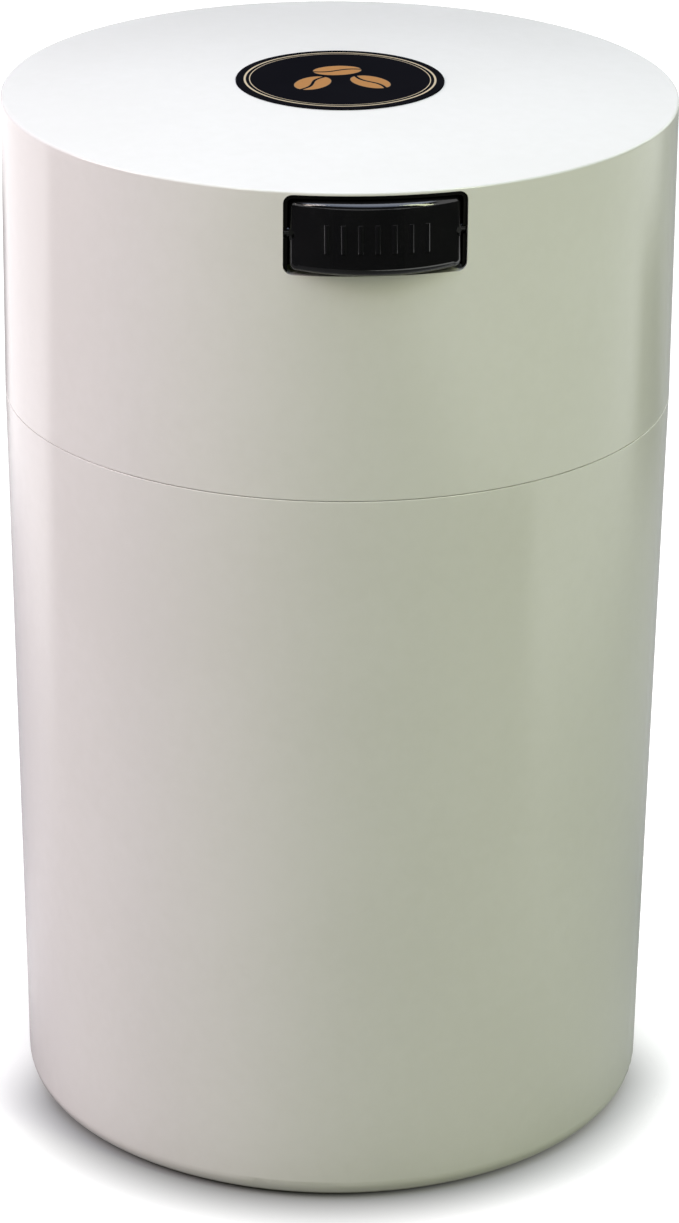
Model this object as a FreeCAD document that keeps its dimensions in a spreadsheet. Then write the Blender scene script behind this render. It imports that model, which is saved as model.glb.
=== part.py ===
import FreeCAD, Part
import math
import os
import re

import Sketcher

# A coffee canister: a tapered cup, a lift-off cap with a domed top, and a rocking press button
# in the cap's wall that lifts a rubber pad off a vent.
# Millimetres, +Z up, the origin at the middle of the base, the button facing -Y.

SIZES = (
    # The cup
    ("seam_radius", 63.5, "outside radius where the cap meets the cup"),
    ("cup_taper", 2.1, "how much less the radius is just above the rounded foot"),
    ("cup_height", 144.6, "from the foot to the rim that the cap sits on"),
    ("cup_wall", 2.8, "thickness of the cup's wall"),
    ("cup_floor", 2.8, "thickness of the cup's floor"),
    ("foot_edge_radius", 3.9, "rounding of the outside foot edge"),
    ("foot_ring_width", 5.0, "flat ring that the cup stands on"),
    ("foot_recess", 1.4, "hollow under the floor"),
    ("floor_corner_radius", 6.0, "rounding between floor and wall inside"),
    ("rim_wall", 1.9, "thinner wall round the collar's seat"),
    ("collar_seat_depth", 18.0, "depth of the collar's seat below the rim"),
    ("seam_edge_radius", 0.15, "rounding of the two edges at the seam"),
    # The neck collar and its seal
    ("neck_headroom", 3.8, "from the neck's mouth up to the pocket in the cap"),
    ("neck_wall", 2.4, "thickness of the collar"),
    ("neck_clearance", 0.5, "gap between the neck and the cap at the cap's top"),
    ("neck_edge_radius", 0.8, "rounding of the neck's mouth"),
    ("collar_fit", 0.1, "glue gap between the collar and its seat"),
    ("seal_groove_height", 3.4, "height of the groove for the seal"),
    ("seal_groove_depth", 1.2, "depth of the groove for the seal"),
    ("seal_below_mouth", 2.6, "from the neck's mouth down to the groove"),
    ("seal_fit", 0.12, "gap between the seal and its groove"),
    ("seal_slide_gap", 0.15, "gap between the seal's crown and the cap"),
    # The cap
    ("seam_gap", 0.12, "gap between the cap and the cup's rim"),
    ("cap_height", 57.6, "from the cap's lower edge to its top rim"),
    ("cap_taper", 0.2, "how much less the radius is at the cap's top rim"),
    ("rim_edge_radius", 0.45, "rounding of the cap's top edge"),
    ("cap_wall", 2.4, "thickness of the cap's wall"),
    ("cap_top", 2.2, "thickness of the cap's top"),
    ("cap_corner_radius", 2.0, "rounding between top and wall inside the cap"),
    ("cap_lead_in", 0.5, "chamfer inside the cap's lower edge"),
    ("dome_rise", 2.1, "rise of the domed top above its rim"),
    # The label
    ("label_radius", 19.45, "radius of the round label"),
    ("label_thickness", 0.45, "thickness of the label"),
    ("label_sink", 0.25, "depth of the label's recess in the top"),
    ("label_fit", 0.12, "gap round the label"),
    ("label_glue", 0.03, "glue under the label"),
    # The window and the pocket behind it
    ("window_width", 32.6, "width of the window in the cap's wall"),
    ("window_height", 14.7, "height of the window"),
    ("window_corner_radius", 1.7, "rounding of the window's corners"),
    ("window_drop", 0.6, "from the top rim down to the window"),
    ("pocket_wall", 1.6, "side and bottom walls of the pocket"),
    ("pocket_back", 1.8, "back wall of the pocket"),
    # The valve housing
    ("pivot_inset", 4.1, "pivot axis behind the cap's outside"),
    ("housing_fit", 0.1, "gap round the housing in its pocket"),
    ("housing_wall", 0.7, "side walls of the housing"),
    ("housing_floor", 1.2, "back plate of the housing"),
    ("housing_floor_inset", 4.4, "back plate behind the pivot axis"),
    ("housing_setback", 0.45, "front edge of the housing behind the cap's outside"),
    ("press_room", 1.1, "room behind the button's foot for its travel"),
    ("vent_rise", 2.8, "vent above the pivot axis"),
    ("vent_radius", 0.6, "radius of the vent's bore"),
    ("nozzle_radius", 1.2, "outside radius of the vent's nozzle"),
    ("nozzle_tip_inset", 2.0, "nozzle's tip behind the pivot axis"),
    ("spigot_radius", 1.9, "radius of the spigot through the pocket's back"),
    ("spigot_stub", 0.9, "how far the spigot stands out inside the cap"),
    ("spigot_fit", 0.1, "gap round the spigot"),
    ("barb_height", 3.0, "height of the snap barbs"),
    ("barb_reach", 0.5, "how far a snap barb stands out"),
    ("barb_start_inset", 2.4, "catching face of the barbs behind the pivot axis"),
    ("barb_length", 2.2, "length of a barb's ramp"),
    ("barb_fit", 0.15, "gap round a barb in its slot"),
    ("lead_in_width", 1.6, "slot that leads a trunnion to its hole"),
    # The gasket round the spigot
    ("gasket_radius", 3.4, "outside radius of the gasket"),
    ("gasket_thickness", 0.9, "thickness of the gasket"),
    ("gasket_proud", 0.2, "how far the gasket stands out of its seat"),
    # The rocker button
    ("rocker_gap", 0.35, "gap between the button and the housing's sides and top"),
    ("rocker_back_inset", 2.2, "back edge of the button behind the pivot axis"),
    ("underside_gap", 0.6, "gap between the button's lower front edge and the window's foot"),
    ("underside_droop", 3.0, "fall of the button's underside towards the front, degrees"),
    ("face_radius_share", 0.92, "radius of the bulging face over the window's width"),
    ("face_reach", 6.2, "face in front of the pivot axis at mid height"),
    ("face_lean", 7.4, "lean of the face, foot outwards, degrees"),
    ("face_wall", 2.0, "thickness of the button's face"),
    ("rocker_wall", 1.0, "thickness of the button's sides"),
    ("face_edge_radius", 1.25, "rounding round the face"),
    ("rocker_corner_radius", 1.4, "rounding of the button's corners"),
    ("trunnion_radius", 1.1, "radius of the two pivots"),
    ("pivot_clearance", 0.06, "radial gap of a trunnion in its hole"),
    ("trunnion_end_gap", 0.2, "gap between a trunnion's end and the pocket"),
    ("notch_radius", 0.95, "radius of the notches beside the face"),
    ("notch_inset", 1.3, "bottom of the notches in front of the pivot axis"),
    ("grip_bar_count", 7, "raised bars on the face"),
    ("grip_bar_radius", 0.6, "section radius of a bar"),
    ("grip_bar_proud", 0.24, "how far a bar stands out of the face"),
    ("grip_bar_length", 5.0, "length of a bar"),
    ("grip_bar_pitch", 3.0, "distance between bars along the face"),
    # The pad and the spring
    ("pad_radius", 1.9, "radius of the rubber pad"),
    ("pad_seat_inset", 0.6, "pad's seat behind the pivot axis"),
    ("pad_contact_gap", 0.03, "gap between pad and nozzle at rest"),
    ("pad_boss_radius", 2.2, "radius of the boss that holds the pad"),
    ("pad_stem_radius", 0.8, "radius of the pad's stem"),
    ("pad_stem_length", 1.3, "length of the pad's stem"),
    ("stem_fit", 0.06, "gap round the pad's stem"),
    ("spring_drop", 3.0, "spring below the pivot axis"),
    ("spring_radius", 1.5, "radius of the coil at the middle of its wire"),
    ("wire_radius", 0.2, "radius of the spring's wire"),
    ("spring_turns", 5, "turns of the coil"),
    ("spring_end_gap", 0.08, "gap at each end of the spring"),
    ("spring_boss_radius", 2.4, "radius of the boss over the spring"),
    ("spring_boss_reach", 0.9, "boss's end in front of the pivot axis"),
    ("spring_cup_radius", 1.95, "radius of the cup in that boss"),
    ("spring_cup_depth", 0.8, "depth of the cup"),
    ("peg_radius", 1.05, "radius of the peg inside the coil"),
    ("peg_height", 1.6, "height of the peg"),
    # One length by which every cut runs past what it cuts
    ("overrun", 2.0, "how far cuts run past the solid"),
)
NAMES = {name for name, _, _ in SIZES}

# Places that follow from the sizes
BASE_RADIUS = "(seam_radius - cup_taper)"
RIM_RADIUS = "(seam_radius - cap_taper)"
RIM = "(cup_height + seam_gap + cap_height)"
WINDOW_TOP = f"({RIM} - window_drop)"
WINDOW_FOOT = f"({WINDOW_TOP} - window_height)"
MOUTH = f"({WINDOW_FOOT} - pocket_wall - neck_headroom)"
COLLAR_SEAT = "(cup_height - collar_seat_depth)"
FLOOR_TOP = "(foot_recess + cup_floor)"
NECK_RADIUS = f"({RIM_RADIUS} - cap_wall - neck_clearance)"
COLLAR_BORE = f"({NECK_RADIUS} - neck_wall)"
GROOVE_RADIUS = f"({NECK_RADIUS} - seal_groove_depth)"
GROOVE_TOP = f"({MOUTH} - seal_below_mouth)"
GROOVE_FOOT = f"({GROOVE_TOP} - seal_groove_height)"
DOME_REACH = f"({RIM_RADIUS} - rim_edge_radius)"
DOME_RADIUS = f"(({DOME_REACH}^2 + dome_rise^2) / (2 * dome_rise))"
PIVOT_HEIGHT = f"({WINDOW_TOP} - window_height / 2)"
PIVOT_DEPTH = f"({RIM_RADIUS} - pivot_inset)"
HOUSING_BACK = "(housing_floor_inset + housing_floor)"
HOUSING_HALF_WIDTH = "(window_width / 2 - housing_fit)"
HOUSING_HALF_HEIGHT = "(window_height / 2 - housing_fit)"
OPENING_HALF_WIDTH = f"({HOUSING_HALF_WIDTH} - housing_wall)"
OPENING_HALF_HEIGHT = f"({HOUSING_HALF_HEIGHT} - housing_wall)"
POCKET_FLOOR = f"({PIVOT_DEPTH} - {HOUSING_BACK} - gasket_proud)"
ROCKER_HALF_WIDTH = f"({OPENING_HALF_WIDTH} - rocker_gap)"
ROCKER_HALF_HEIGHT = f"({OPENING_HALF_HEIGHT} - rocker_gap)"
FACE_RADIUS = "(face_radius_share * window_width)"
SPRING_FAR_END = "(spring_boss_reach + spring_cup_depth)"

doc = FreeCAD.newDocument("coffee_canister")
sheet = doc.addObject("Spreadsheet::Sheet", "Sizes")
for row, (name, number, meaning) in enumerate(SIZES, start=1):
    sheet.set(f"A{row}", name)
    sheet.set(f"B{row}", str(number))
    sheet.set(f"C{row}", meaning)
    sheet.setAlias(f"B{row}", name)
doc.recompute()


def formula(words):
    """The words with each size's name turned into a reference to its cell."""
    return re.sub(r"[a-z_]+", lambda m: f"Sizes.{m[0]}" if m[0] in NAMES else m[0], words)


def value(words):
    """The number that a formula gives now."""
    return float(sheet.evalExpression(formula(words)))


def bind(item, prop, words):
    item.setExpression(prop, formula(words))


# Drawing: an outline is a list of corners and bends, or one circle


def corner(across, up):
    """A point that the outline reaches by a straight line."""
    return {"at": (across, up), "radius": None}


def bend(across, up, radius, leftward=True):
    """A point that the outline reaches by an arc that turns left or right."""
    return {"at": (across, up), "radius": radius, "leftward": leftward}


def circle(across, up, radius):
    return {"centre": (across, up), "radius": radius}


def rectangle(left, foot, right, top):
    return [corner(left, foot), corner(right, foot), corner(right, top), corner(left, top)]


def rounded_rectangle(half_width, half_height, radius, middle="0"):
    """A rectangle about the sketch's axis with round corners."""
    left, right = f"-{half_width}", half_width
    foot, top = f"({middle} - {half_height})", f"({middle} + {half_height})"
    return [
        corner(f"{right} - {radius}", foot),
        bend(right, f"{foot} + {radius}", radius),
        corner(right, f"{top} - {radius}"),
        bend(f"{right} - {radius}", top, radius),
        corner(f"{left} + {radius}", top),
        bend(left, f"{top} - {radius}", radius),
        corner(left, f"{foot} + {radius}"),
        bend(f"{left} + {radius}", foot, radius),
    ]


def fix_point(sketch, geometry, spot, place):
    """Hold a point of the sketch at a place that the sheet gives."""
    for kind, words in zip(("DistanceX", "DistanceY"), place):
        index = sketch.addConstraint(Sketcher.Constraint(kind, -1, 1, geometry, spot, value(words)))
        name = f"place{index}"
        sketch.renameConstraint(index, name)
        bind(sketch, f"Constraints.{name}", words)


def fix_radius(sketch, geometry, words):
    index = sketch.addConstraint(Sketcher.Constraint("Radius", geometry, value(words)))
    name = f"radius{index}"
    sketch.renameConstraint(index, name)
    bind(sketch, f"Constraints.{name}", words)


def arc_between(start, end, radius, leftward):
    """The shorter arc of this radius, which a sketch stores turning left."""
    chord = end - start
    half = chord.Length / 2
    side = FreeCAD.Vector(-chord.y, chord.x, 0).normalize()
    if not leftward:
        side = -side
    centre = (start + end) / 2 + side * math.sqrt(max(radius**2 - half**2, 0))
    first, last = (start, end) if leftward else (end, start)
    angles = [math.atan2(p.y - centre.y, p.x - centre.x) for p in (first, last)]
    ring = Part.Circle(centre, FreeCAD.Vector(0, 0, 1), radius)
    return Part.ArcOfCircle(ring, angles[0], angles[1])


def add_outline(sketch, outline):
    """Add one closed outline, with every point and radius bound to the sheet."""
    if isinstance(outline, dict):
        centre = FreeCAD.Vector(*[value(words) for words in outline["centre"]], 0)
        ring = Part.Circle(centre, FreeCAD.Vector(0, 0, 1), value(outline["radius"]))
        geometry = sketch.addGeometry(ring, False)
        fix_point(sketch, geometry, 3, outline["centre"])
        fix_radius(sketch, geometry, outline["radius"])
        return
    spots = [FreeCAD.Vector(*[value(words) for words in point["at"]], 0) for point in outline]
    runs = []
    for index, point in enumerate(outline):
        start, end = spots[index - 1], spots[index]
        if point["radius"] is None:
            geometry = sketch.addGeometry(Part.LineSegment(start, end), False)
            runs.append((geometry, 1, 2))
            continue
        arc = arc_between(start, end, value(point["radius"]), point["leftward"])
        geometry = sketch.addGeometry(arc, False)
        runs.append((geometry, 1, 2) if point["leftward"] else (geometry, 2, 1))
    for index, (geometry, _, end) in enumerate(runs):
        after, start, _ = runs[(index + 1) % len(runs)]
        sketch.addConstraint(Sketcher.Constraint("Coincident", geometry, end, after, start))
    for (geometry, _, end), point in zip(runs, outline):
        fix_point(sketch, geometry, end, point["at"])
        if point["radius"] is not None:
            fix_radius(sketch, geometry, point["radius"])


# Building: sub-parts and their features


def new_body(label, across="0", depth="0", height="0"):
    body = doc.addObject("PartDesign::Body", label)
    body.Label = label
    for letter, words in zip("xyz", (across, depth, height)):
        bind(body, f"Placement.Base.{letter}", words)
    return body


def plane_of(body, role):
    return next(part for part in body.Origin.OriginFeatures if part.Role == role)


def draw(body, name, role, outlines, lift="0"):
    """A sketch on one of the body's planes, or lifted off it along the plane's normal."""
    sketch = body.newObject("Sketcher::SketchObject", name)
    sketch.AttachmentSupport = (plane_of(body, role), [""])
    sketch.MapMode = "FlatFace"
    bind(sketch, "AttachmentOffset.Base.z", lift)
    for outline in outlines:
        add_outline(sketch, outline)
    doc.recompute()
    return sketch


def extrude(body, kind, sketch, length, name, symmetric, reverse):
    feature = body.newObject(kind, name)
    feature.Profile = sketch
    feature.SideType = "Symmetric" if symmetric else "One side"
    feature.Reversed = reverse
    bind(feature, "Length", length)
    doc.recompute()
    return feature


def pad(body, name, sketch, length, symmetric=False, reverse=False):
    return extrude(body, "PartDesign::Pad", sketch, length, name, symmetric, reverse)


def pocket(body, name, sketch, length, symmetric=False, reverse=False):
    """A cut against the sketch's normal, or along it when reversed."""
    before = body.Shape.Volume
    feature = extrude(body, "PartDesign::Pocket", sketch, length, name, symmetric, reverse)
    if not body.Shape.Volume < before:
        raise RuntimeError(f"{body.Label}: {name} cuts nothing")
    return feature


def revolve(body, name, sketch):
    feature = body.newObject("PartDesign::Revolution", name)
    feature.Profile = sketch
    feature.ReferenceAxis = (sketch, ["V_Axis"])
    doc.recompute()
    return feature


def fillet(body, name, radius, chosen):
    """Round the edges of the body's last feature that the test chooses."""
    last = body.Tip
    edges = [f"Edge{number}" for number, edge in enumerate(last.Shape.Edges, 1) if chosen(edge)]
    if not edges:
        raise RuntimeError(f"{body.Label}: {name} finds no edge")
    feature = body.newObject("PartDesign::Fillet", name)
    feature.Base = (last, edges)
    bind(feature, "Radius", radius)
    doc.recompute()
    return feature


def runs_along_depth(edge):
    """Whether an edge is straight and has no width and no height."""
    box = edge.BoundBox
    return box.XLength < Part.Precision.confusion() and box.YLength > max(box.ZLength, box.XLength)


def is_round(face, radius):
    """Whether a face is a cylinder of this radius."""
    surface = face.Surface
    return isinstance(surface, Part.Cylinder) and math.isclose(surface.Radius, radius, rel_tol=1e-6)


def dome_height(radius):
    """Height of the domed top at a distance from the axis."""
    return f"({RIM} + dome_rise - {DOME_RADIUS} + sqrt({DOME_RADIUS}^2 - ({radius})^2))"


def make_cup():
    """The tapered cup with its foot ring and the seat for the collar."""
    body = new_body("container_body")
    hollow = f"({BASE_RADIUS} - foot_edge_radius - foot_ring_width)"
    inside = f"({BASE_RADIUS} - cup_wall)"
    taper = "cup_taper * collar_seat_depth / (cup_height - foot_edge_radius)"
    outline = [
        corner("0", "foot_recess"),
        corner(f"{hollow} - foot_recess", "foot_recess"),
        corner(hollow, "0"),
        corner(f"{BASE_RADIUS} - foot_edge_radius", "0"),
        bend(BASE_RADIUS, "foot_edge_radius", "foot_edge_radius"),
        corner("seam_radius", "cup_height - seam_edge_radius"),
        bend("seam_radius - seam_edge_radius", "cup_height", "seam_edge_radius"),
        corner("seam_radius - rim_wall", "cup_height"),
        corner("seam_radius - rim_wall", COLLAR_SEAT),
        corner(f"seam_radius - {taper} - cup_wall", COLLAR_SEAT),
        corner(inside, f"{FLOOR_TOP} + floor_corner_radius"),
        bend(f"{inside} - floor_corner_radius", FLOOR_TOP, "floor_corner_radius", leftward=False),
        corner("0", FLOOR_TOP),
    ]
    revolve(body, "cup", draw(body, "cup_section", "XZ_Plane", [outline]))
    return body


def make_collar():
    """The sleeve bonded into the cup's mouth, with the groove for the seal."""
    body = new_body("neck_collar")
    seat = "(seam_radius - rim_wall - collar_fit)"
    outline = [
        corner(COLLAR_BORE, COLLAR_SEAT),
        corner(seat, COLLAR_SEAT),
        corner(seat, "cup_height"),
        corner(NECK_RADIUS, "cup_height"),
        corner(NECK_RADIUS, GROOVE_FOOT),
        corner(GROOVE_RADIUS, GROOVE_FOOT),
        corner(GROOVE_RADIUS, GROOVE_TOP),
        corner(NECK_RADIUS, GROOVE_TOP),
        corner(NECK_RADIUS, f"{MOUTH} - neck_edge_radius"),
        bend(f"{NECK_RADIUS} - neck_edge_radius", MOUTH, "neck_edge_radius"),
        corner(f"{COLLAR_BORE} + neck_edge_radius", MOUTH),
        bend(COLLAR_BORE, f"{MOUTH} - neck_edge_radius", "neck_edge_radius"),
    ]
    revolve(body, "collar", draw(body, "collar_section", "XZ_Plane", [outline]))
    return body


def make_seal():
    """The rubber ring: square in its groove, crowned where the cap slides."""
    body = new_body("neck_seal")
    foot = f"({GROOVE_FOOT} + seal_fit)"
    top = f"({GROOVE_TOP} - seal_fit)"
    inside = f"({GROOVE_RADIUS} + seal_fit)"
    shoulder = f"({NECK_RADIUS} - seal_fit)"
    half = "(seal_groove_height / 2 - seal_fit)"
    crown = "(neck_clearance + seal_fit - seal_slide_gap)"
    outline = [
        corner(inside, foot),
        corner(shoulder, foot),
        bend(shoulder, top, f"({half}^2 + {crown}^2) / (2 * {crown})"),
        corner(inside, top),
    ]
    revolve(body, "seal", draw(body, "seal_section", "XZ_Plane", [outline]))
    return body


def make_cap():
    """The cap with its domed top, the label's recess and the pocket behind the window."""
    body = new_body("cap_shell")
    foot = "(cup_height + seam_gap)"
    recess = "(label_radius + label_fit)"
    inside_reach = f"({RIM_RADIUS} - cap_wall - cap_corner_radius)"
    inside_dome = f"({inside_reach}^2 + dome_rise^2) / (2 * dome_rise)"
    inside_foot = "(seam_radius - cap_wall)"
    outline = [
        corner("0", f"{RIM} + dome_rise - cap_top"),
        bend(inside_reach, f"{RIM} - cap_top", inside_dome, leftward=False),
        bend(f"{RIM_RADIUS} - cap_wall", f"{RIM} - cap_top - cap_corner_radius",
             "cap_corner_radius", leftward=False),
        corner(inside_foot, f"{foot} + cap_lead_in"),
        corner(f"{inside_foot} + cap_lead_in", foot),
        corner("seam_radius - seam_edge_radius", foot),
        bend("seam_radius", f"{foot} + seam_edge_radius", "seam_edge_radius"),
        corner(RIM_RADIUS, f"{RIM} - rim_edge_radius"),
        bend(DOME_REACH, RIM, "rim_edge_radius"),
        bend(recess, dome_height(recess), DOME_RADIUS),
        corner(recess, f"{dome_height(recess)} - label_sink"),
        bend("0", f"{RIM} + dome_rise - label_sink", DOME_RADIUS),
    ]
    revolve(body, "cap", draw(body, "cap_section", "XZ_Plane", [outline]))

    half = "(window_width / 2 + pocket_wall)"
    middle_of_wall = f"({RIM_RADIUS} - cap_wall / 2)"
    front = f"-sqrt({middle_of_wall}^2 - {half}^2)"
    back = f"-({POCKET_FLOOR} - pocket_back)"
    box_foot = f"({WINDOW_FOOT} - pocket_wall)"
    plan = [
        corner(f"-{half}", front),
        bend(half, front, middle_of_wall),
        corner(half, back),
        corner(f"-{half}", back),
    ]
    box = draw(body, "pocket_plan", "XY_Plane", [plan], box_foot)
    pad(body, "pocket_box", box, f"{RIM} - cap_top / 2 - {box_foot}")

    opening = rounded_rectangle("window_width / 2", "window_height / 2", "window_corner_radius",
                                PIVOT_HEIGHT)
    window = draw(body, "window_outline", "XZ_Plane", [opening], POCKET_FLOOR)
    pocket(body, "window", window, f"{RIM_RADIUS} - {POCKET_FLOOR} + overrun", reverse=True)

    vent_height = f"({PIVOT_HEIGHT} + vent_rise)"
    seat = draw(body, "gasket_seat_outline", "XZ_Plane",
                [circle("0", vent_height, "gasket_radius + spigot_fit")], POCKET_FLOOR)
    pocket(body, "gasket_seat", seat, "gasket_thickness - gasket_proud")
    hole = draw(body, "spigot_hole_outline", "XZ_Plane",
                [circle("0", vent_height, "spigot_radius + spigot_fit")], POCKET_FLOOR)
    pocket(body, "spigot_hole", hole, "pocket_back + overrun")

    slot_front = f"-({PIVOT_DEPTH} - barb_start_inset + barb_fit)"
    slot_back = f"-({PIVOT_DEPTH} - barb_start_inset - barb_length - barb_fit)"
    slot = rectangle(slot_front, f"{PIVOT_HEIGHT} - barb_height / 2 - barb_fit",
                     slot_back, f"{PIVOT_HEIGHT} + barb_height / 2 + barb_fit")
    slots = draw(body, "barb_slot_outline", "YZ_Plane", [slot])
    pocket(body, "barb_slots", slots, f"2 * {half} + overrun", symmetric=True)
    return body


def make_label():
    """The thin round label that follows the dome."""
    body = new_body("cap_label")
    under = "(label_glue - label_sink)"
    over = f"({under} + label_thickness)"
    outline = [
        corner("0", f"{RIM} + dome_rise + {under}"),
        bend("label_radius", f"{dome_height('label_radius')} + {under}", DOME_RADIUS, leftward=False),
        corner("label_radius", f"{dome_height('label_radius')} + {over}"),
        bend("0", f"{RIM} + dome_rise + {over}", DOME_RADIUS),
    ]
    revolve(body, "label", draw(body, "label_section", "XZ_Plane", [outline]))
    return body


def new_valve_body(label):
    """A body whose own origin is the middle of the button's pivot axis."""
    return new_body(label, depth=f"-{PIVOT_DEPTH}", height=PIVOT_HEIGHT)


def make_housing():
    """The black insert: an open box with the nozzle, the spring's peg and the pivot holes."""
    body = new_valve_body("valve_housing")
    front_radius = f"({RIM_RADIUS} - housing_setback)"
    front = f"{PIVOT_DEPTH} - sqrt({front_radius}^2 - {HOUSING_HALF_WIDTH}^2)"
    plan = [
        corner(f"-{HOUSING_HALF_WIDTH}", front),
        bend(HOUSING_HALF_WIDTH, front, front_radius),
        corner(HOUSING_HALF_WIDTH, HOUSING_BACK),
        corner(f"-{HOUSING_HALF_WIDTH}", HOUSING_BACK),
    ]
    block = draw(body, "housing_plan", "XY_Plane", [plan])
    pad(body, "housing_block", block, f"2 * {HOUSING_HALF_HEIGHT}", symmetric=True)
    fillet(body, "housing_corners", "window_corner_radius - housing_fit", runs_along_depth)

    inner_corner = "(window_corner_radius - housing_fit - housing_wall)"
    opening = rounded_rectangle(OPENING_HALF_WIDTH, OPENING_HALF_HEIGHT, inner_corner)
    hollow = draw(body, "hollow_outline", "XZ_Plane", [opening], "-housing_floor_inset")
    pocket(body, "hollow", hollow, "housing_floor_inset + pivot_inset + overrun", reverse=True)

    floor = "-housing_floor_inset"
    nozzle = draw(body, "nozzle_outline", "XZ_Plane",
                  [circle("0", "vent_rise", "nozzle_radius")], floor)
    pad(body, "nozzle", nozzle, "housing_floor_inset - nozzle_tip_inset")
    peg = draw(body, "peg_outline", "XZ_Plane", [circle("0", "-spring_drop", "peg_radius")], floor)
    pad(body, "peg", peg, "peg_height")
    spigot = draw(body, "spigot_outline", "XZ_Plane",
                  [circle("0", "vent_rise", "spigot_radius")], f"-{HOUSING_BACK}")
    spigot_length = "(gasket_proud + pocket_back + spigot_stub)"
    pad(body, "spigot", spigot, spigot_length, reverse=True)
    bore = draw(body, "vent_outline", "XZ_Plane",
                [circle("0", "vent_rise", "vent_radius")], "-nozzle_tip_inset")
    pocket(body, "vent", bore, f"{HOUSING_BACK} + {spigot_length}")

    pivot = draw(body, "pivot_hole_outline", "YZ_Plane",
                 [circle("0", "0", "trunnion_radius + pivot_clearance")])
    pocket(body, "pivot_holes", pivot, "window_width", symmetric=True)
    lead = rectangle("-(pivot_inset + overrun)", "-lead_in_width / 2", "0", "lead_in_width / 2")
    slots = draw(body, "lead_in_outline", "YZ_Plane", [lead])
    pocket(body, "lead_ins", slots, "window_width", symmetric=True)
    foot = rectangle("-(pivot_inset + overrun)", f"-({HOUSING_HALF_HEIGHT} + overrun)",
                     "rocker_back_inset + press_room", f"-({OPENING_HALF_HEIGHT} - {inner_corner})")
    cut = draw(body, "foot_cut_outline", "YZ_Plane", [foot])
    pocket(body, "foot_cut", cut, f"2 * {OPENING_HALF_WIDTH}", symmetric=True)

    barbs = []
    for side in ("", "-"):
        root = f"{side}({HOUSING_HALF_WIDTH} - housing_wall / 2)"
        tip = f"{side}({HOUSING_HALF_WIDTH} + barb_reach)"
        ramp = [
            corner(root, "barb_start_inset"),
            corner(tip, "barb_start_inset"),
            corner(root, "barb_start_inset + barb_length"),
        ]
        barbs.append(ramp)
    plan = draw(body, "barb_plan", "XY_Plane", barbs)
    pad(body, "barbs", plan, "barb_height", symmetric=True)
    return body


def make_gasket():
    """The flat rubber ring round the spigot."""
    body = new_valve_body("vent_gasket")
    rings = [
        circle("0", "vent_rise", "gasket_radius"),
        circle("0", "vent_rise", "spigot_radius + spigot_fit"),
    ]
    outline = draw(body, "gasket_outline", "XZ_Plane", rings, f"-{HOUSING_BACK}")
    pad(body, "gasket", outline, "gasket_thickness", reverse=True)
    return body


def lean_with_face(sketch):
    """Set a sketch square to the leaning face, its origin on the face's own axis."""
    sketch.AttachmentOffset.Rotation = FreeCAD.Rotation(FreeCAD.Vector(-1, 0, 0), value("face_lean"))
    bind(sketch, "AttachmentOffset.Base.y", f"{FACE_RADIUS} * cos(face_lean) - face_reach")
    bind(sketch, "AttachmentOffset.Base.z", f"-{FACE_RADIUS} * sin(face_lean)")
    bind(sketch, "AttachmentOffset.Rotation.Angle", "face_lean")
    doc.recompute()


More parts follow.
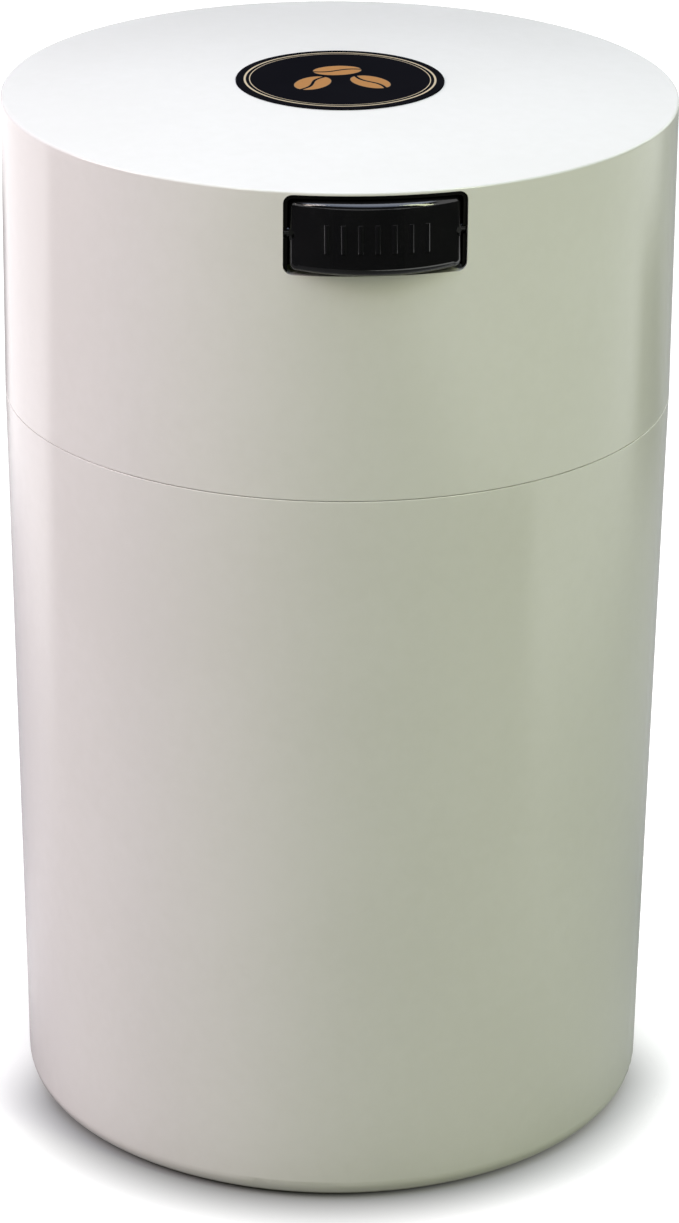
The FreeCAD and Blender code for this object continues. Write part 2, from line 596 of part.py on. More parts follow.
def make_rocker():
    """The press button: a bulging, leaning face on a hollow back, with two trunnions."""
    body = new_valve_body("rocker_button")
    side = f"-sqrt({FACE_RADIUS}^2 - {ROCKER_HALF_WIDTH}^2)"
    back = f"(face_reach + rocker_back_inset + overrun - {FACE_RADIUS})"
    plan = [
        corner(f"-{ROCKER_HALF_WIDTH}", side),
        bend(ROCKER_HALF_WIDTH, side, FACE_RADIUS),
        corner(ROCKER_HALF_WIDTH, back),
        corner(f"-{ROCKER_HALF_WIDTH}", back),
    ]
    face = draw(body, "face_plan", "XY_Plane", [plan])
    lean_with_face(face)
    pad(body, "face_block", face, "2 * window_height", symmetric=True)

    far = f"({FACE_RADIUS} + window_height)"
    frame = rectangle(f"-{far}", f"-{far}", far, far)
    lower_edge = "(underside_gap - window_height / 2)"
    droop = "tan(underside_droop)"
    kept = [
        corner("rocker_back_inset", f"{lower_edge} + (face_reach + rocker_back_inset) * {droop}"),
        corner("rocker_back_inset", ROCKER_HALF_HEIGHT),
        corner(f"-{far} / 2", ROCKER_HALF_HEIGHT),
        corner(f"-{far} / 2", f"{lower_edge} - ({far} / 2 - face_reach) * {droop}"),
    ]
    trim = draw(body, "side_outline", "YZ_Plane", [frame, kept])
    pocket(body, "side_trim", trim, "2 * window_width", symmetric=True)
    fillet(body, "rocker_corners", "rocker_corner_radius", runs_along_depth)

    faces = [part for part in body.Tip.Shape.Faces if is_round(part, value(FACE_RADIUS))]

    def bounds_the_face(edge):
        return any(edge.isSame(other) for part in faces for other in part.Edges)

    fillet(body, "face_edge", "face_edge_radius", bounds_the_face)

    inner_radius = f"({FACE_RADIUS} - face_wall)"
    inner_half = f"({ROCKER_HALF_WIDTH} - rocker_wall)"
    inner_reach = f"(face_reach - face_wall - {ROCKER_HALF_HEIGHT} * tan(face_lean))"
    axis = f"({inner_radius} - {inner_reach})"
    shoulder = f"{axis} - sqrt({inner_radius}^2 - {inner_half}^2)"
    hollow_plan = [
        corner(f"-{inner_half}", shoulder),
        bend(inner_half, shoulder, inner_radius),
        corner(inner_half, "rocker_back_inset + overrun"),
        corner(f"-{inner_half}", "rocker_back_inset + overrun"),
    ]
    hollow = draw(body, "hollow_plan", "XY_Plane", [hollow_plan])
    pocket(body, "hollow", hollow, f"2 * ({ROCKER_HALF_HEIGHT} - rocker_wall)", symmetric=True)

    pad_boss = draw(body, "pad_boss_outline", "XZ_Plane",
                    [circle("0", "vent_rise", "pad_boss_radius")], "-pad_seat_inset")
    pad(body, "pad_boss", pad_boss, f"pad_seat_inset + {inner_reach} + face_wall / 2")
    stem_hole = draw(body, "stem_hole_outline", "XZ_Plane",
                     [circle("0", "vent_rise", "pad_stem_radius + stem_fit")], "-pad_seat_inset")
    pocket(body, "stem_hole", stem_hole, "pad_stem_length + stem_fit", reverse=True)
    spring_boss = draw(body, "spring_boss_outline", "XZ_Plane",
                       [circle("0", "-spring_drop", "spring_boss_radius")], "spring_boss_reach")
    pad(body, "spring_boss", spring_boss, f"{inner_reach} + face_wall / 2 - spring_boss_reach")
    cup = draw(body, "spring_cup_outline", "XZ_Plane",
               [circle("0", "-spring_drop", "spring_cup_radius")], "spring_boss_reach")
    pocket(body, "spring_cup", cup, "spring_cup_depth", reverse=True)

    reach = f"({HOUSING_HALF_WIDTH} - trunnion_end_gap)"
    trunnion = draw(body, "trunnion_outline", "YZ_Plane",
                    [circle("0", "0", "trunnion_radius")], inner_half)
    first = pad(body, "trunnion", trunnion, f"{reach} - {inner_half}")
    pair = body.newObject("PartDesign::Mirrored", "trunnion_pair")
    pair.Originals = [first]
    pair.MirrorPlane = (plane_of(body, "YZ_Plane"), [""])
    body.Tip = pair
    doc.recompute()

    bites = [circle(f"{sign}{ROCKER_HALF_WIDTH}", "0", "notch_radius") for sign in ("", "-")]
    notches = draw(body, "notch_outline", "XZ_Plane", bites, "notch_inset")
    pocket(body, "notches", notches, "face_reach + overrun", reverse=True)

    bars = []
    count = round(value("grip_bar_count"))
    centre_radius = f"({FACE_RADIUS} + grip_bar_proud - grip_bar_radius)"
    for number in range(count):
        turn = f"(({number} - (grip_bar_count - 1) / 2) * grip_bar_pitch / {FACE_RADIUS} * 180 / pi)"
        bars.append(circle(f"{centre_radius} * sin({turn})", f"-{centre_radius} * cos({turn})",
                           "grip_bar_radius"))
    grip = draw(body, "grip_bar_plan", "XY_Plane", bars)
    lean_with_face(grip)
    pad(body, "grip_bars", grip, "grip_bar_length", symmetric=True)
    return body


def make_pad():
    """The rubber plug that closes the vent: a flat head on a stem."""
    body = new_valve_body("valve_pad")
    head = draw(body, "head_outline", "XZ_Plane", [circle("0", "vent_rise", "pad_radius")],
                "-pad_seat_inset")
    pad(body, "head", head, "nozzle_tip_inset - pad_seat_inset - pad_contact_gap", reverse=True)
    stem = draw(body, "stem_outline", "XZ_Plane", [circle("0", "vent_rise", "pad_stem_radius")],
                "-pad_seat_inset")
    pad(body, "stem", stem, "pad_stem_length")
    return body


def biarc(start, start_way, end, end_way):
    """Two arcs with one tangent where they meet, between two points of a curve."""
    chord = end - start
    ways = start_way + end_way
    lack = 2 * (1 - start_way.dot(end_way))
    along = chord.dot(ways)
    reach = (math.sqrt(along**2 + lack * chord.dot(chord)) - along) / lack
    joint = (start + end + (start_way - end_way) * reach) / 2
    arcs = []
    for first, peak, last in ((start, start + start_way * reach, joint),
                              (joint, end - end_way * reach, end)):
        middle = (first + last) / 2
        half = (last - first).Length / 2
        rise = peak - middle
        sagitta = half * math.tan(math.atan2(rise.Length, half) / 2)
        arcs.append(Part.Arc(first, middle + rise.normalize() * sagitta, last).toShape())
    return arcs


def make_spring():
    """The return spring: one unbroken wire wound along the button's depth."""
    radius = value("spring_radius")
    wire = value("wire_radius")
    turns = round(value("spring_turns"))
    length = value(f"housing_floor_inset + {SPRING_FAR_END} - 2 * spring_end_gap") - 2 * wire
    start_depth = value("housing_floor_inset - spring_end_gap") - wire
    quarters = 4 * turns

    def place(quarter):
        turn = quarter * math.pi / 2
        return FreeCAD.Vector(radius * math.cos(turn), start_depth - length * quarter / quarters,
                              radius * math.sin(turn))

    def way(quarter):
        turn = quarter * math.pi / 2
        climb = -length / quarters * 2 / math.pi
        return FreeCAD.Vector(-radius * math.sin(turn), climb, radius * math.cos(turn)).normalize()

    edges = []
    for quarter in range(quarters):
        edges += biarc(place(quarter), way(quarter), place(quarter + 1), way(quarter + 1))
    path = Part.Wire(edges)
    ring = Part.Wire([Part.Circle(place(0), way(0), wire).toShape()])
    shell = Part.BRepOffsetAPI.MakePipeShell(path)
    shell.add(ring)
    shell.build()
    shell.makeSolid()

    samples = 6
    points = [place(step / samples) for step in range(samples * quarters + 1)]
    half_a_turn = 2 * samples
    least = min((points[a] - points[b]).Length for a in range(len(points))
                for b in range(a + half_a_turn, len(points)))
    print(f"spring's least gap to itself {least - 2 * wire:.2f} mm")
    spring = doc.addObject("Part::Feature", "return_spring")
    spring.Label = "return_spring"
    spring.Shape = shell.shape()
    bind(spring, "Placement.Base.y", f"-{PIVOT_DEPTH}")
    bind(spring, "Placement.Base.z", f"{PIVOT_HEIGHT} - spring_drop")
    return spring


pieces = [
    make_cup(),
    make_collar(),
    make_seal(),
    make_cap(),
    make_label(),
    make_housing(),
    make_gasket(),
    make_rocker(),
    make_pad(),
    make_spring(),
]
doc.recompute()

for item in doc.Objects:
    if {"Invalid", "Error"} & set(item.State):
        raise RuntimeError(f"{item.Label} failed: {item.State}")
for piece in pieces:
    if piece.Shape.isNull() or not piece.Shape.isValid() or len(piece.Shape.Solids) != 1:
        raise RuntimeError(f"{piece.Label} is not one valid solid")

os.makedirs("parts", exist_ok=True)
for piece in pieces:
    piece.Shape.exportStep(f"parts/{piece.Label}.step")
    box = piece.Shape.BoundBox
    print(f"{piece.Label}: {piece.Shape.Volume:.1f} mm3, x {box.XMin:.2f} to {box.XMax:.2f}, "
          f"y {box.YMin:.2f} to {box.YMax:.2f}, z {box.ZMin:.2f} to {box.ZMax:.2f}")
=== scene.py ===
import math

import bpy
from bpy.props import FloatProperty, FloatVectorProperty, PointerProperty
from bpy.types import Operator, Panel, PropertyGroup
from mathutils import Matrix, Vector


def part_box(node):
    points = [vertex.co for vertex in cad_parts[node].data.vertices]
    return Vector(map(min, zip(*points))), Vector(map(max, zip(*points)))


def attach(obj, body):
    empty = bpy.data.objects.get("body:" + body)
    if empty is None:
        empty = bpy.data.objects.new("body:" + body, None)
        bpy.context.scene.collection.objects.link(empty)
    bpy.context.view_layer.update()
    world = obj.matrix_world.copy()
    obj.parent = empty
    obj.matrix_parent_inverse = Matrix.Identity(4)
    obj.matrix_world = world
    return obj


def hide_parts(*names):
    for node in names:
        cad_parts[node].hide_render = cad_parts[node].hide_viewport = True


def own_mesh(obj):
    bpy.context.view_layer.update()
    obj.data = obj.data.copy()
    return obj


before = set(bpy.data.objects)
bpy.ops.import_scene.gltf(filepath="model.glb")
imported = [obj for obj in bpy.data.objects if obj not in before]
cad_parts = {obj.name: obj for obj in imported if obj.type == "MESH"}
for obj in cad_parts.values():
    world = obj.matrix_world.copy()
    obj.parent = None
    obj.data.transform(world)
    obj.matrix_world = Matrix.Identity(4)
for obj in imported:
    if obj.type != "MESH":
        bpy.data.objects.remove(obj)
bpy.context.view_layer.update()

bl_info = {
    "name": "Coffee canister",
    "version": (1, 0, 0),
    "blender": (4, 5, 0),
    "location": "View3D > Sidebar > Canister",
    "description": "Dresses a coffee canister with a lift-off cap and a rocking valve button",
    "category": "Object",
}

MM = 0.001
BLACK, WHITE = (0, 0, 0), (1, 1, 1)

# Boxes of the pieces that the patterns are placed by
CAP_LOW, CAP_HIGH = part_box("cap_shell")
CUP_LOW, CUP_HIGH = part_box("container_body")
LABEL_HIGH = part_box("cap_label")[1]

# Rubbed edges of the mouldings: heights from the top and from the foot, and half widths of the rub
RIM_DROP, FOOT_RISE = 2.4 * MM, 1.0 * MM
RUB_CORE, RUB_END = 0.1 * MM, 1.4 * MM

# Fine scratches, and the die lines of the wire as features to a metre along X, Y and Z
SCRATCH_LENGTH, SCRATCH_PITCH = 12 * MM, 0.4 * MM
DIE_LINES = (900, 5200, 900)

# Printed rings in mm: bare edge outside them, gap, and half widths where the ink fades
RING_INSET, RING_GAP = 1.65, 0.9
OUTER_RING, INNER_RING = (0.14, 0.24), (0.05, 0.12)

# Printed beans: middle in mm and turn in degrees of each, and squared reach where the ink fades
BEANS = ((-5.4, -2.8, 58), (5.4, -2.8, -58), (0.0, 5.2, 8))
BEAN_EDGE = (0.93, 1.05)

# Cleft of a bean: radians of its wave to a mm, sway in mm, and half widths in mm
CLEFT_WAVE, CLEFT_SWAY = 0.72, 0.45
CLEFT_EDGE = (0.24, 0.40)

# Floor: its size, the middle of the painted shadow under the foot, and where the painted shadow gets lighter
# towards the back
FLOOR_SIZE = 8
PAINTED_SHADOW_MIDDLE = (-1.5 * MM, -3.0 * MM, 0)
PAINTED_SHADOW_LIFT_START, PAINTED_SHADOW_LIFT_END, PAINTED_SHADOW_LIFT = -22 * MM, 8 * MM, 0.5

# Point that the lamps and the cards look at
MIDDLE = (0, 0, 0.11)

# Lamps: degrees to the right, degrees up, metres away, size, brightness, colour, shown in reflections
LAMPS = {
    "key_left": (-88, 26, 0.95, (0.45, 0.6), 7.0, (1.0, 0.87, 0.91), True),
    "strip_left": (-43, 50, 0.9, (0.066, 0.5), 9.6, (1.0, 0.88, 0.82), True),
    "strip_right": (42, 46, 0.9, (0.104, 0.6), 11.3, (0.94, 1.0, 0.65), True),
    "overhead": (0, 83, 0.8, (0.8, 0.8), 2.18, (0.66, 0.76, 1.0), True),
    "fill_right": (125, 28, 1.0, (0.5, 0.6), 1.65, (0.96, 1.0, 0.94), True),
    "bounce": (22, 4, 0.9, (1.0, 0.4), 0.48, (0.78, 1.0, 0.05), False),
    "fill_back": (-170, 20, 1.0, (0.5, 0.6), 2.3, (1.0, 0.99, 0.98), False),
}

# Upright cards round the front, which keep the button's face dark: grey at each azimuth
FRONT_CARDS = {-92: 0.06, -46: 0.04, 0: 0.02, 46: 0.04, 92: 0.06}
FRONT_CARD_SIZE, FRONT_CARD_AWAY, FRONT_CARD_HEIGHT = (0.9, 0.4), 1.0, 0.2

# Slanting cards above the button and behind the top: azimuth, elevation, metres away, size, grey and fade
SLANTING_CARDS = {
    "hood_card": (0, 48, 1.4, (2.2, 1.4), 0.03, 0.02),
    "back_card": (180, 9.5, 1.4, (2.4, 0.72), 0.9, 0.45),
}

# Cards on the floor, which the walls reflect: azimuth, middle before that turn, size, grey and fade
FLOOR_CARDS = {
    "front": (-118, (0.44, -0.2, 2.0 * MM), (0.9, 1.3), 0.15, 0.06),
    "left": (-160, (0, -0.21, 2.5 * MM), (0.4, 0.36), 0.76, 0.35),
    "right": (150, (0, -0.4, 3.0 * MM), (0.7, 1.2), 0.47, 0.25),
    "far_right": (122, (0, -0.48, 3.5 * MM), (0.26, 0.34), 0.12, 0.35),
    "far_left": (-168, (0, -0.48, 4.0 * MM), (0.26, 0.4), 0.25, 0.35),
}

# Camera: width of its sensor in mm, and the nearest distance that it shows in metres
SENSOR_WIDTH = 36
CLIP_START = 0.01


class WhitePlastic(PropertyGroup):
    """The moulded plastic of the cup, the neck and the cap."""

    colour: FloatVectorProperty(
        name="Colour", description="Main colour of the moulding", subtype="COLOR",
        size=3, min=0, max=1, default=(0.80, 0.79, 0.76))
    shade: FloatVectorProperty(
        name="Shade", description="Slightly darker tone of the flow mottling", subtype="COLOR",
        size=3, min=0, max=1, default=(0.77, 0.76, 0.725))
    rubbed: FloatVectorProperty(
        name="Rubbed", description="Paler tone of the rubbed edges", subtype="COLOR",
        size=3, min=0, max=1, default=(0.84, 0.83, 0.80))
    gloss_roughness: FloatProperty(
        name="Roughness", description="Roughness of the clean surface", subtype="FACTOR",
        min=0, max=1, default=0.14)
    texture_depth: FloatProperty(
        name="Texture depth", description="Height of the moulded ripple", subtype="DISTANCE",
        unit="LENGTH", min=0, default=0.004 * MM)


class BlackPlastic(PropertyGroup):
    """The button's polished plastic and the housing's satin plastic."""

    colour: FloatVectorProperty(
        name="Colour", description="Colour of the button", subtype="COLOR",
        size=3, min=0, max=1, default=(0.006, 0.006, 0.007))
    scuff: FloatVectorProperty(
        name="Scuff", description="Colour of the button's scratches and smudges", subtype="COLOR",
        size=3, min=0, max=1, default=(0.03, 0.03, 0.03))
    button_roughness: FloatProperty(
        name="Button roughness", description="Roughness of the polished button", subtype="FACTOR",
        min=0, max=1, default=0.06)
    # Housing tones: black plastic and its grain, both made darker than real as painted shade in the recess
    # round the button
    housing_black_and_shade: FloatVectorProperty(
        name="Housing colour", description="Colour of the housing", subtype="COLOR",
        size=3, min=0, max=1, default=(0.0025, 0.0025, 0.0025))
    housing_grain_and_shade: FloatVectorProperty(
        name="Housing grain", description="Paler tone of the housing's grain", subtype="COLOR",
        size=3, min=0, max=1, default=(0.006, 0.006, 0.006))
    housing_roughness: FloatProperty(
        name="Housing roughness", description="Roughness of the satin housing", subtype="FACTOR",
        min=0, max=1, default=0.42)


class RubberPieces(PropertyGroup):
    """The black rubber of the valve and the pale rubber of the seal."""

    black: FloatVectorProperty(
        name="Black", description="Colour of the pad and the gasket", subtype="COLOR",
        size=3, min=0, max=1, default=(0.02, 0.02, 0.02))
    black_bloom: FloatVectorProperty(
        name="Black bloom", description="Dusty tone of the pad and the gasket", subtype="COLOR",
        size=3, min=0, max=1, default=(0.035, 0.035, 0.034))
    black_roughness: FloatProperty(
        name="Black roughness", description="Roughness of the pad and the gasket", subtype="FACTOR",
        min=0, max=1, default=0.62)
    seal: FloatVectorProperty(
        name="Seal", description="Colour of the seal ring", subtype="COLOR",
        size=3, min=0, max=1, default=(0.55, 0.55, 0.53))
    seal_bloom: FloatVectorProperty(
        name="Seal bloom", description="Dusty tone of the seal ring", subtype="COLOR",
        size=3, min=0, max=1, default=(0.62, 0.62, 0.60))
    seal_roughness: FloatProperty(
        name="Seal roughness", description="Roughness of the seal ring", subtype="FACTOR",
        min=0, max=1, default=0.48)


class SpringWire(PropertyGroup):
    """The drawn wire of the return spring."""

    colour: FloatVectorProperty(
        name="Colour", description="Colour of the bright wire", subtype="COLOR",
        size=3, min=0, max=1, default=(0.62, 0.62, 0.60))
    oiled: FloatVectorProperty(
        name="Oiled", description="Colour of the oiled wire", subtype="COLOR",
        size=3, min=0, max=1, default=(0.50, 0.49, 0.46))


class LabelPrint(PropertyGroup):
    """The round film on the cap and its print."""

    film: FloatVectorProperty(
        name="Film", description="Colour of the film", subtype="COLOR",
        size=3, min=0, max=1, default=(0.005, 0.005, 0.007))
    film_haze: FloatVectorProperty(
        name="Film haze", description="Paler tone of the film", subtype="COLOR",
        size=3, min=0, max=1, default=(0.008, 0.008, 0.010))
    line_ink: FloatVectorProperty(
        name="Line ink", description="Colour of the rings", subtype="COLOR",
        size=3, min=0, max=1, default=(0.60, 0.50, 0.35))
    bean_ink: FloatVectorProperty(
        name="Bean ink", description="Colour of the beans", subtype="COLOR",
        size=3, min=0, max=1, default=(0.45, 0.22, 0.08))
    ring_radius: FloatProperty(
        name="Ring radius", description="Radius of the outer printed ring", subtype="DISTANCE",
        unit="LENGTH", min=0, default=LABEL_HIGH.x - RING_INSET * MM)
    bean_length: FloatProperty(
        name="Bean length", description="Length of a printed bean", subtype="DISTANCE",
        unit="LENGTH", min=0, default=9.2 * MM)
    bean_width: FloatProperty(
        name="Bean width", description="Width of a printed bean", subtype="DISTANCE",
        unit="LENGTH", min=0, default=6.2 * MM)


class StudioStage(PropertyGroup):
    """The floor, the lamps and the camera."""

    azimuth: FloatProperty(
        name="Azimuth", description="Camera's turn about the canister", subtype="ANGLE",
        unit="ROTATION", default=math.radians(-6.1))
    elevation: FloatProperty(
        name="Elevation", description="Camera's height angle", subtype="ANGLE",
        unit="ROTATION", default=math.radians(22.87))
    roll: FloatProperty(
        name="Roll", description="Camera's turn about its own line of sight", subtype="ANGLE",
        unit="ROTATION", default=math.radians(0.52))
    distance: FloatProperty(
        name="Distance", description="Camera's distance from the middle of the canister",
        subtype="DISTANCE", unit="LENGTH", min=0, default=0.8875)
    middle_height: FloatProperty(
        name="Middle height", description="Height of the point that the camera stands off from",
        subtype="DISTANCE", unit="LENGTH", default=0.098)
    slide: FloatVectorProperty(
        name="Slide", description="Camera's shift to its right and upwards", subtype="TRANSLATION",
        unit="LENGTH", size=2, default=(0.0008, -0.00127))
    lens: FloatProperty(
        name="Lens", description="Focal length on a 36 mm sensor", subtype="DISTANCE_CAMERA",
        unit="CAMERA", min=1, default=133.46)
    floor_colour: FloatVectorProperty(
        name="Floor", description="Colour of the floor", subtype="COLOR",
        size=3, min=0, max=1, default=(0.48, 0.48, 0.48))
    # Painted shadow: the floor's colour close to the foot, and the reaches over which it fades out
    painted_shadow_colour: FloatVectorProperty(
        name="Floor shade", description="Colour of the floor close to the foot", subtype="COLOR",
        size=3, min=0, max=1, default=(0.2, 0.2, 0.2))
    painted_shadow_start: FloatProperty(
        name="Shade start", description="Reach of the full shade round the foot", subtype="DISTANCE",
        unit="LENGTH", min=0, default=0.0555)
    painted_shadow_end: FloatProperty(
        name="Shade end", description="Reach at which the floor is clear of the shade",
        subtype="DISTANCE", unit="LENGTH", min=0, default=0.0761)
    sky_level: FloatProperty(
        name="Sky level", description="Strength of the even light from all round", min=0,
        default=0.12)


class Value:
    """A shader socket. Arithmetic on it adds Math nodes to its wiring."""

    def __init__(self, wiring, socket):
        self.wiring = wiring
        self.socket = socket

    def math(self, operation, *operands):
        return self.wiring.node("ShaderNodeMath", {"operation": operation}, dict(enumerate(operands)))

    def __add__(self, other):
        return self.math("ADD", self, other)

    def __radd__(self, other):
        return self.math("ADD", other, self)

    def __sub__(self, other):
        return self.math("SUBTRACT", self, other)

    def __rsub__(self, other):
        return self.math("SUBTRACT", other, self)

    def __mul__(self, other):
        return self.math("MULTIPLY", self, other)

    def __rmul__(self, other):
        return self.math("MULTIPLY", other, self)

    def __truediv__(self, other):
        return self.math("DIVIDE", self, other)

    def __rtruediv__(self, other):
        return self.math("DIVIDE", other, self)

    def __pow__(self, other):
        return self.math("POWER", self, other)

    def __rpow__(self, other):
        return self.math("POWER", other, self)

    def __abs__(self):
        return self.math("ABSOLUTE", self)

    def sine(self):
        return self.math("SINE", self)

    def larger(self, other):
        return self.math("MAXIMUM", self, other)

    def ramp(self, start, end):
        """0 at the start and 1 at the end, smooth between them."""
        return self.wiring.node(
            "ShaderNodeMapRange", {"interpolation_type": "SMOOTHSTEP"},
            {"Value": self, "From Min": start, "From Max": end, "To Min": 0, "To Max": 1})


def largest(values):
    """The largest of several values at each point."""
    top, *others = values
    for value in others:
        top = top.larger(value)
    return top


class Wiring:
    """The nodes of one finish or of the studio's background."""

    def __init__(self, tree):
        self.tree = tree

    def feed(self, node, inputs):
        """Give sockets of a node their numbers, colours or links, by name or by place."""
        for key, given in inputs.items():
            if isinstance(key, int):
                socket = node.inputs[key]
            else:
                socket = next(s for s in node.inputs if s.name == key and s.enabled)
            if isinstance(given, Value):
                self.tree.links.new(given.socket, socket)
            else:
                socket.default_value = given

    def node(self, kind, settings=None, inputs=None, output=0):
        """Add a node: its type, its settings, the values or links of its sockets, the output used."""
        node = self.tree.nodes.new(kind)
        for name, setting in (settings or {}).items():
            setattr(node, name, setting)
        self.feed(node, inputs or {})
        if isinstance(output, int):
            return Value(self, [s for s in node.outputs if s.enabled][output])
        return Value(self, node.outputs[output])

    def shown_ray(self):
        """1 for rays that show the background, from the camera, in a reflection or through a clear piece."""
        return largest([self.node("ShaderNodeLightPath", output=f"Is {kind} Ray")
                        for kind in ("Camera", "Glossy", "Transmission")])


class Finish(Wiring):
    """A material round one Principled shader, patterned by the place on the piece."""

    def __init__(self, name, **constants):
        self.material = bpy.data.materials.new(name)
        self.material.use_nodes = True
        super().__init__(self.material.node_tree)
        self.shader = self.tree.nodes["Principled BSDF"]
        self.feed(self.shader, {socket.replace("_", " "): given for socket, given in constants.items()})
        self.place = self.node("ShaderNodeTexCoord", output="Object")

    def axes(self):
        """The three numbers of the place on the piece."""
        return [self.node("ShaderNodeSeparateXYZ", None, {"Vector": self.place}, axis) for axis in "XYZ"]

    def stretched(self, scale, turn=(0, 0, 0)):
        """The place on the piece, turned and then stretched."""
        turned = self.node("ShaderNodeMapping", {"vector_type": "TEXTURE"},
                           {"Vector": self.place, "Rotation": turn})
        return self.node("ShaderNodeVectorMath", {"operation": "MULTIPLY"}, {0: turned, 1: scale})

    def noise(self, scale, detail=2.0, roughness=0.5, distortion=0.0, vector=None):
        """Cloudy noise from 0 to 1, with its scale in features to a metre."""
        return self.node(
            "ShaderNodeTexNoise", None,
            {"Vector": vector or self.place, "Scale": scale, "Detail": detail,
             "Roughness": roughness, "Distortion": distortion}, "Fac")

    def hairlines(self, turn):
        """Fine broken scratches along one direction, 1 on a scratch."""
        along = self.stretched((1 / SCRATCH_LENGTH, 1 / SCRATCH_PITCH, 1 / SCRATCH_PITCH), turn)
        line = 1 - abs(self.noise(scale=1, detail=1, vector=along) - 0.5).ramp(0.0, 0.012)
        return line * self.noise(scale=1 / SCRATCH_LENGTH, detail=1).ramp(0.52, 0.66)

    def blend(self, factor, first, second):
        """A colour between two, each an RGB triple or a socket."""
        colours = [c if isinstance(c, Value) else (*c, 1.0) for c in (first, second)]
        return self.node("ShaderNodeMix", {"data_type": "RGBA"},
                         {"Factor": factor, "A": colours[0], "B": colours[1]})

    def bump(self, height, depth):
        """Relief of the given depth in metres."""
        self.set("Normal", self.node("ShaderNodeBump", None, {"Distance": depth, "Height": height}))

    def set(self, socket, value):
        """Link a value to the shader."""
        self.feed(self.shader, {socket: value})


def white_plastic(settings):
    """Glossy moulded plastic: faint flow mottling, smudges and rubbed edges."""
    finish = Finish("white_plastic", IOR=1.49)
    _, _, height = finish.axes()
    drift = finish.noise(scale=16)
    grain = finish.noise(scale=330, detail=3, roughness=0.6)
    smudge = finish.noise(scale=34, detail=4, roughness=0.6, distortion=0.8).ramp(0.50, 0.75)
    edges = (CAP_HIGH.z - RIM_DROP, CAP_LOW.z, CUP_HIGH.z, CUP_LOW.z + FOOT_RISE)
    rub = largest([1 - abs(height - edge).ramp(RUB_CORE, RUB_END) for edge in edges])
    rub = rub * finish.noise(scale=60).ramp(0.3, 0.8)
    mottle = (drift * 0.7 + grain * 0.3).ramp(0.35, 0.65)
    colour = finish.blend(mottle, settings.colour, settings.shade)
    finish.set("Base Color", finish.blend(rub * 0.25, colour, settings.rubbed))
    finish.set("Roughness", settings.gloss_roughness + smudge * 0.02 + rub * 0.04 + grain * 0.02)
    finish.bump(grain, settings.texture_depth)
    return finish.material


def gloss_black(settings):
    """Polished black plastic with finger smudges and fine scratches."""
    finish = Finish("button_plastic", IOR=1.52, Specular_IOR_Level=0.75)
    smudge = finish.noise(scale=140, detail=4, roughness=0.6, distortion=0.6).ramp(0.45, 0.75)
    scratch = finish.hairlines(turn=(0.2, 0.4, 0.3))
    scuff = scratch * 0.2 + smudge * 0.1
    finish.set("Base Color", finish.blend(scuff, settings.colour, settings.scuff))
    finish.set("Roughness", settings.button_roughness + smudge * 0.05 + scratch * 0.06)
    finish.bump(finish.noise(scale=500), 0.001 * MM)
    return finish.material


def satin_black(settings):
    """Satin black plastic with a fine moulded grain, darker than real black plastic as painted shade in the
    recess round the button.
    """
    finish = Finish("black_plastic", IOR=1.5, Specular_IOR_Level=0.06)
    grain = finish.noise(scale=5200, roughness=0.6)
    cloud = finish.noise(scale=160, detail=3)
    tone = grain * 0.6 + cloud * 0.4
    # Base colour: black plastic and grain, darkened as painted shade of the recess
    finish.set("Base Color", finish.blend(tone, settings.housing_black_and_shade, settings.housing_grain_and_shade))
    finish.set("Roughness", settings.housing_roughness + cloud * 0.1 + grain * 0.06)
    finish.bump(grain, 0.012 * MM)
    return finish.material


def rubber(name, colour, bloom, roughness):
    """Moulded rubber: a dusty bloom and a fine tooth."""
    finish = Finish(name, IOR=1.46)
    tooth = finish.noise(scale=2400, roughness=0.7)
    cloud = finish.noise(scale=120, detail=3, roughness=0.6)
    finish.set("Base Color", finish.blend(cloud.ramp(0.3, 0.75), colour, bloom))
    finish.set("Roughness", roughness + cloud * 0.14 + tooth * 0.05)
    finish.bump(tooth, 0.01 * MM)
    return finish.material


def spring_wire(settings):
    """Drawn spring wire with die lines and a faint oil tint."""
    finish = Finish("spring_steel", Metallic=1.0)
    lines = finish.noise(scale=1, vector=finish.stretched(DIE_LINES))
    cloud = finish.noise(scale=420)
    finish.set("Base Color", finish.blend(cloud, settings.colour, settings.oiled))
    finish.set("Roughness", 0.2 + lines * 0.18)
    finish.bump(lines, 0.004 * MM)
    return finish.material


